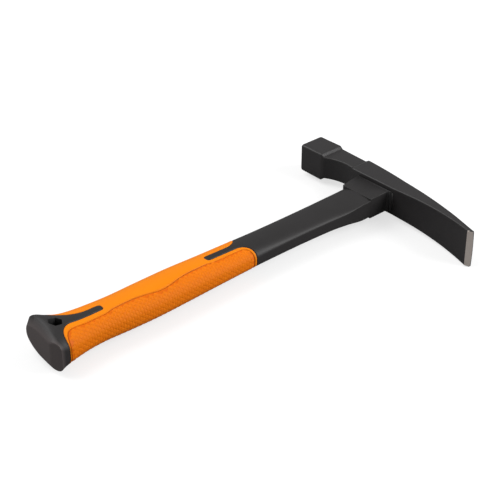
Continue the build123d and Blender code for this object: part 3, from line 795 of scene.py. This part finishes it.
def block(name, outline, low, high, material):
    """Block with an outline (y, z), from low to high along x."""
    bm = bmesh.new()
    bottom, top = [[bm.verts.new((x, y, z)) for y, z in outline] for x in (low, high)]
    bridge(bm, bottom, top)
    bm.faces.new(bottom[::-1])
    bm.faces.new(top)
    return new_object(name, bm, material)


def trim(piece, cutter, operation):
    """Cuts a piece with a block and throws the block away."""
    cut = piece.modifiers.new(cutter.name, "BOOLEAN")
    cut.object = cutter
    cut.operation = operation
    cut.solver = "EXACT"
    apply_modifiers(piece)
    bpy.data.objects.remove(cutter)


def make_eye_plug():
    """Resin that closes the eye a little below the head's curved outer side."""
    outline = rounded_outline(EYE_LENGTH - 2 * PLUG_PLAY, EYE_WIDTH - 2 * PLUG_PLAY,
                              EYE_CORNER - PLUG_PLAY, 9)
    bm = bmesh.new()
    rings = []
    for share in PLUG_RINGS:
        dish = PLUG_DISH - PLUG_LIP * max(0.0, 1 - (1 - share) * PLUG_LIP_RUN)
        rings.append([bm.verts.new((float(head_outer(np.array(y * share))) - dish,
                                    y * share, z * share)) for y, z in outline])
    floor = [bm.verts.new((POLL_RISE - EYE_DEPTH - PLUG_SINK, y, z)) for y, z in outline]
    for low, high in zip([floor] + rings, rings):
        bridge(bm, low, high)
    bm.faces.new(rings[-1])
    bm.faces.new(floor[::-1])
    piece = new_object("eye_plug_resin", bm, RESIN, smooth_angle=50)
    finish_piece(piece, "plug_plastic", "eye_plug")


# ---- jacket ----
def make_collar():
    """Block that seats against the head, with a concave lead to the blade's underside."""
    foot = EYE_BASE - COLLAR_DEPTH
    lead_y = -COLLAR_NEAR - COLLAR_LEAD
    lip = EYE_BASE - COLLAR_LIP
    outline = [(foot, -COLLAR_NEAR), (foot, COLLAR_FAR - COLLAR_TAPER), (EYE_BASE, COLLAR_FAR),
               (EYE_BASE, lead_y)]
    outline += [(lip - COLLAR_LEAD + COLLAR_LEAD * math.cos(math.radians(a)),
                 lead_y + COLLAR_LEAD * math.sin(math.radians(a))) for a in range(0, 91, 9)]
    bm = bmesh.new()
    low = [bm.verts.new((x, y, -COLLAR_HALF)) for x, y in outline]
    high = [bm.verts.new((x, y, COLLAR_HALF)) for x, y in outline]
    bridge(bm, low, high)
    bm.faces.new(high)
    bm.faces.new(low[::-1])
    bmesh.ops.recalc_face_normals(bm, faces=bm.faces[:])
    soft = []
    for edge in bm.edges:
        first, second = (v.co for v in edge.verts)
        below_lip = abs(first.z - second.z) < NEAR and max(first.x, second.x) < lip + TOUCH
        if below_lip or max(abs(first.x - foot), abs(second.x - foot)) < NEAR:
            soft.append(edge)
    bmesh.ops.bevel(bm, geom=soft, offset=COLLAR_EDGE, segments=COLLAR_STEPS, profile=0.5,
                    affect="EDGES", clamp_overlap=True)
    piece = new_object("jacket_collar", bm, PLASTIC, smooth_angle=30)
    bed, clear = COLLAR_HALF - BEAD_DEPTH, COLLAR_HALF + CUT_CLEAR
    for side in (1, -1):
        for top in (EYE_BASE + BEAD_PAST, EYE_BASE - BEAD_WIDTH - BEAD_GAP):
            groove = [(-CUT_HALF, side * bed), (CUT_HALF, side * bed),
                      (CUT_HALF, side * clear), (-CUT_HALF, side * clear)]
            bottom = min(top, EYE_BASE) - BEAD_GAP
            trim(piece, block("groove", groove, bottom, top, PLASTIC), "DIFFERENCE")
    finish_piece(piece, "jacket_plastic", "handle_jacket")


def make_jacket():
    """Shaft, hard strips and butt in one moulding, sunk where the rubber lies on it."""
    butt_edge = 1 - np.sin(np.radians(np.arange(-8, 91, 9)))
    rows = np.concatenate((np.arange(FORM_START, SHAFT_ROWS_END, -SHAFT_PITCH),
                           np.arange(SHAFT_ROWS_END, -BUTT_REACH + BUTT_ROWS, -JACKET_PITCH),
                           -BUTT_REACH + BUTT_EDGE * butt_edge,
                           np.linspace(-BUTT_REACH, -BUTT_REACH - CAP_ROWS, CAP_COUNT)[1:]))
    rows = np.array(sorted(set(rows.round(4)), reverse=True))
    bm = map_mesh(rows, turn_steps(*JACKET_TURNS))
    for level in (0.0, HOLE_EDGE_LINE, HOLE_EDGE):
        cut_along(bm, hole_field, level)
    for level in (-JOINT_HALF, -JOINT_HALF / 2, 0.0):
        cut_along(bm, rubber_field, level)
    keep_faces(bm, hole_field)
    rubber = map_values(bm, rubber_field)
    hole = map_values(bm, hole_field)
    covered = smoothstep(UNDER_START, UNDER_FULL, rubber)
    sink = JACKET_SINK + (UNDER_RUBBER - JACKET_SINK) * covered
    sink = np.where(np.array([v.co.x for v in bm.verts]) < -REAR_EDGE - BUTT_FLUSH, 0.0, sink)
    # share of the groove's depth; the same mask gives the groove its painted shade
    joint = smoothstep(-JOINT_HALF, -JOINT_HALF / 2, rubber)
    sink = np.maximum(sink, JACKET_SINK + JOINT_DEPTH * joint)
    sink = sink + rounding(HOLE_EDGE, np.maximum(hole, 0))
    for vert, depth in zip(bm.verts, sink):
        vert.co.z = -float(depth)
    wrap_map(bm)
    rim = [e for e in bm.edges if e.is_boundary
           and all(abs(float(hole_field(v.co.x, v.co.y))) < ON_LINE and v.co.x < HOLE_REGION
                   for v in e.verts)]
    for side in (1, -1):
        loop = [e for e in rim if e.verts[0].co.z * side > 0]
        wall = bmesh.ops.extrude_edge_only(bm, edges=loop)["geom"]
        for vert in only(wall, bmesh.types.BMVert):
            vert.co.z = 0
    middle = [v for v in bm.verts if abs(v.co.z) < HAIR]
    bmesh.ops.remove_doubles(bm, verts=middle, dist=TOUCH)
    bmesh.ops.holes_fill(bm, edges=[e for e in bm.edges if e.is_boundary])
    x, y = np.array([v.co[:2] for v in bm.verts]).T
    # the butt's end face lightened: painted light from the left, with some scuffing
    masks = {"scuffed": smoothstep(LIT_END_START, LIT_END_FULL, x - butt_end(y)),
             # painted shade on the hanging hole's walls
             "bore": 1 - smoothstep(0.0, HOLE_EDGE, hole_field(x, y)),
             # painted shade in the groove along the rubber's edge
             "joint": smoothstep(-JOINT_HALF, -JOINT_HALF / 2, rubber_field(x, y))}
    piece = new_object("jacket_moulding", bm, PLASTIC, smooth_angle=40)
    paint_masks(piece, masks)
    finish_piece(piece, "jacket_plastic", "handle_jacket")


# ---- rubber ----
def rubber_lift(x, y):
    """Height of the rubber over the handle's form: round edge, seam and sunk pads."""
    edge = rubber_field(x, y)
    pad = pad_field(x, y)
    seam = SEAM_DEPTH * np.exp(-(pad / SEAM_HALF)**2)
    edge_drop = rounding(RUBBER_EDGE, np.maximum(edge, 0))
    return -edge_drop - seam - PAD_SINK * smoothstep(*PAD_FALL, pad)


def make_grip():
    """The rubber, cut to its outline, with its edges turned down into the jacket."""
    rows = np.arange(-SHAFT_LENGTH + GRIP_START, -REAR_EDGE - GRIP_END, -GRIP_PITCH)
    bm = map_mesh(rows, turn_steps(*GRIP_TURNS))
    cut_along(bm, rubber_field, 0.0)
    keep_faces(bm, rubber_field)
    for level in (RUBBER_EDGE_LINE, RUBBER_EDGE):
        cut_along(bm, rubber_field, level)
    for level in SEAM_LINES:
        cut_along(bm, pad_field, level)
    for vert, height in zip(bm.verts, map_values(bm, rubber_lift)):
        vert.co.z = float(height)
    outline = [e for e in bm.edges
               if e.is_boundary and not all(v.co.y in (0.0, LAST_TURN) for v in e.verts)]
    skirt = bmesh.ops.extrude_edge_only(bm, edges=outline)["geom"]
    for vert in only(skirt, bmesh.types.BMVert):
        vert.co.z -= SKIRT
    wrap_map(bm)
    pad = pad_field(*np.array([v.co[:2] for v in bm.verts]).T)
    masks = {"pad": smoothstep(*PAD_TINT, pad),
             # painted shade in the seam's groove
             "seam": 1 - smoothstep(SEAM_SHADE_CORE, SEAM_HALF + SEAM_SHADE_CORE, np.abs(pad))}
    piece = new_object("grip_rubber", bm, RUBBER, smooth_angle=60)
    paint_masks(piece, masks)
    finish_piece(piece, "grip_rubber", "grip")


def ring_point(x, turns, lift):
    """Points at several turns of one row, at one lift."""
    return handle_point(np.full_like(turns, x), turns, np.full_like(turns, lift))


def scale_points():
    """Places, outward directions and lengthwise directions of the scales on the pads."""
    along, around = SCALE_PITCH
    fine = np.linspace(0, LAST_TURN, FINE_TURNS)
    found = []
    rows = np.arange(-SHAFT_LENGTH - SCALE_START, -REAR_EDGE, -along / 2)
    for k, x in enumerate(rows):
        ring = ring_point(x, fine, 0.0)
        length = np.concatenate(([0], np.cumsum(np.linalg.norm(np.diff(ring, axis=0), axis=1))))
        offset = around / 2 if k % 2 else 0.0
        near = np.arange(offset, length[-1] / 2, around)
        far = length[-1] - near
        turns = np.interp(np.concatenate((near, far)), length, fine)
        here = ring_point(x, turns, -PAD_SINK)
        inside = pad_field(here[:, 0], here[:, 1]) > SCALE_MARGIN
        beside = ring_point(x, np.clip(turns + PROBE, 0, LAST_TURN), -PAD_SINK)
        back = ring_point(x, np.clip(turns - PROBE, 0, LAST_TURN), -PAD_SINK)
        lengthwise = ring_point(x + PROBE, turns, -PAD_SINK) - here
        up = np.cross(beside - back, lengthwise)
        up /= np.linalg.norm(up, axis=1)[:, None]
        outward = here.copy()
        outward[:, 0] = 0
        up *= np.sign((up * outward).sum(1))[:, None]
        lengthwise /= np.linalg.norm(lengthwise, axis=1)[:, None]
        for mirror in (1, -1):
            keep = inside & ((here[:, 2] > SCALE_CLEAR) | (mirror == 1))
            found.append(np.array([v[keep] for v in (here, up, lengthwise)]) * (1, 1, mirror))
    return np.concatenate(found, axis=1)


def scale_tree(material):
    """Geometry nodes that set one low, blunt scale on each point, turned to the surface."""
    tree = bpy.data.node_groups.new("grip_scales", "GeometryNodeTree")
    face = tree.interface
    face.new_socket("Geometry", in_out="INPUT", socket_type="NodeSocketGeometry")
    for label, default in SCALE_SIZE.items():
        socket = face.new_socket(label, in_out="INPUT", socket_type="NodeSocketFloat")
        socket.default_value = default
    face.new_socket("Geometry", in_out="OUTPUT", socket_type="NodeSocketGeometry")
    link = tree.links.new
    given, result = tree.nodes.new("NodeGroupInput"), tree.nodes.new("NodeGroupOutput")
    cone = add_node(tree, "GeometryNodeMeshCone", _fill_type="NGON", Vertices=4,
                    Radius_Top=SCALE_TOP, Radius_Bottom=1.0, Depth=1.0)
    size = add_node(tree, "ShaderNodeCombineXYZ")
    halves = add_node(tree, "ShaderNodeVectorMath", _operation="MULTIPLY")
    halves.inputs[1].default_value = (0.5, 0.5, 1.0)
    up, along = (add_node(tree, "GeometryNodeInputNamedAttribute", _data_type="FLOAT_VECTOR",
                          Name=name) for name in ("up", "along"))
    turn = add_node(tree, "FunctionNodeAxesToRotation", _primary_axis="Z", _secondary_axis="X")
    place = add_node(tree, "GeometryNodeInstanceOnPoints")
    real = add_node(tree, "GeometryNodeRealizeInstances")
    paint = add_node(tree, "GeometryNodeSetMaterial")
    paint.inputs["Material"].default_value = material
    for label, axis in zip(SCALE_SIZE, "XYZ"):
        link(given.outputs[label], size.inputs[axis])
    link(size.outputs[0], halves.inputs[0])
    link(up.outputs[0], turn.inputs[0])
    link(along.outputs[0], turn.inputs[1])
    link(given.outputs["Geometry"], place.inputs["Points"])
    link(cone.outputs["Mesh"], place.inputs["Instance"])
    link(turn.outputs[0], place.inputs["Rotation"])
    link(halves.outputs[0], place.inputs["Scale"])
    link(place.outputs[0], real.inputs[0])
    link(real.outputs[0], paint.inputs["Geometry"])
    link(paint.outputs[0], result.inputs[0])
    return tree


def make_scales():
    """The pads' scales, in rows that follow the handle's form."""
    places, ups, alongs = scale_points()
    mesh = bpy.data.meshes.new("grip_scales")
    mesh.vertices.add(len(places))
    mesh.vertices.foreach_set("co", metres(places).astype(np.float32).ravel())
    for name, values in (("up", ups), ("along", alongs)):
        layer = mesh.attributes.new(name, "FLOAT_VECTOR", "POINT")
        layer.data.foreach_set("vector", values.astype(np.float32).ravel())
    piece = put_object("grip_scales", mesh)
    nodes = piece.modifiers.new("scales", "NODES")
    nodes.node_group = scale_tree(RUBBER_SCALE)
    for item in nodes.node_group.interface.items_tree:
        if item.in_out == "INPUT" and item.name in SCALE_SIZE:
            nodes[item.identifier] = SCALE_SIZE[item.name]
    apply_modifiers(piece)
    finish_piece(piece, "grip_rubber")


make_head()
make_eye_plug()
make_collar()
make_jacket()
make_grip()
make_scales()

for node, material in (("core_rod", FIBRE), ("eye_bond", RESIN)):
    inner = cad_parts[node]
    for slot in inner.material_slots:
        slot.material = material

# ---- stage, light and camera ----
FLOOR_DEEP, FLOOR_TONE, FLOOR_GLOW = 0.25, 0.40, 0.68
SKY = 0.36
FLOOR_HALF, FLOOR_DROP = 1.1, 0.0001      # half the floor's side, its gap below the hammer

# Lamps: place, size and power. All are turned to the frame's middle.
LAMPS = {"key": ((-0.6, 0.85, 1.25), 1.5, 19), "fill": ((0.9, -1.1, 0.85), 0.9, 21)}

CAMERA_TURN, CAMERA_RISE, CAMERA_DISTANCE = -41.87, 32.0, 0.9692
CAMERA_LENS, CAMERA_SENSOR = 94.18, 36.0
CAMERA_AIM = Vector((0.0159, 0.0142, 0.0160))


def make_floor():
    """Pale floor that keeps the hammer's soft shadow."""
    material = bpy.data.materials.new("pale_floor")
    tree = bare_nodes(material)
    out = add_node(tree, "ShaderNodeOutputMaterial")
    tone = add_node(tree, "ShaderNodeMapRange", To_Min=FLOOR_DEEP, To_Max=FLOOR_TONE)
    matt = add_node(tree, "ShaderNodeBsdfDiffuse")
    glow = add_node(tree, "ShaderNodeEmission", Color=(1, 1, 1, 1))
    seen = add_node(tree, "ShaderNodeLightPath")
    share = add_node(tree, "ShaderNodeMath", _operation="MULTIPLY")
    share.inputs[1].default_value = FLOOR_GLOW
    both = add_node(tree, "ShaderNodeAddShader")
    link = tree.links.new
    link(seen.outputs["Is Camera Ray"], share.inputs[0])
    link(seen.outputs["Is Camera Ray"], tone.inputs["Value"])
    link(tone.outputs["Result"], matt.inputs["Color"])
    link(share.outputs[0], glow.inputs["Strength"])
    link(matt.outputs[0], both.inputs[0])
    link(glow.outputs[0], both.inputs[1])
    link(both.outputs[0], out.inputs["Surface"])
    bm = bmesh.new()
    bmesh.ops.create_grid(bm, x_segments=1, y_segments=1, size=FLOOR_HALF)
    for vert in bm.verts:
        vert.co.z = cad_low[2] - FLOOR_DROP
    mesh = bpy.data.meshes.new("floor")
    bm.to_mesh(mesh)
    bm.free()
    mesh.materials.append(material)
    floor = put_object("floor", mesh)


def make_lamp(name, place, size, power):
    """Soft square lamp at a place."""
    data = bpy.data.lights.new(name, "AREA")
    data.size = size
    data.energy = power
    lamp = put_object(name, data)
    lamp.location = place
    lamp.rotation_euler = (-Vector(place)).to_track_quat("-Z", "Y").to_euler()


def make_world():
    """Even pale light from all round, white where the camera looks past the floor."""
    world = bpy.data.worlds.new("studio")
    bpy.context.scene.world = world
    tree = bare_nodes(world)
    out = add_node(tree, "ShaderNodeOutputWorld")
    sky = add_node(tree, "ShaderNodeBackground", Color=(1, 1, 1, 1), Strength=SKY)
    white = add_node(tree, "ShaderNodeBackground", Color=(1, 1, 1, 1), Strength=1.0)
    seen = add_node(tree, "ShaderNodeLightPath")
    mix = add_node(tree, "ShaderNodeMixShader")
    tree.links.new(seen.outputs["Is Camera Ray"], mix.inputs[0])
    tree.links.new(sky.outputs[0], mix.inputs[1])
    tree.links.new(white.outputs[0], mix.inputs[2])
    tree.links.new(mix.outputs[0], out.inputs["Surface"])


def make_camera():
    """Long-lens camera over the blade's side of the handle."""
    data = bpy.data.cameras.new("camera")
    data.lens = CAMERA_LENS
    data.sensor_width = CAMERA_SENSOR
    camera = put_object("camera", data)
    turn, rise = math.radians(CAMERA_TURN), math.radians(CAMERA_RISE)
    back = Vector((math.sin(turn) * math.cos(rise), -math.cos(turn) * math.cos(rise),
                   math.sin(rise)))
    camera.location = CAMERA_AIM + back * CAMERA_DISTANCE
    camera.rotation_euler = (math.radians(90) - rise, 0, turn)
    bpy.context.scene.camera = camera


make_floor()
make_world()
for name, lamp in LAMPS.items():
    make_lamp(name, *lamp)
make_camera()
bpy.context.scene.view_settings.view_transform = "Standard"
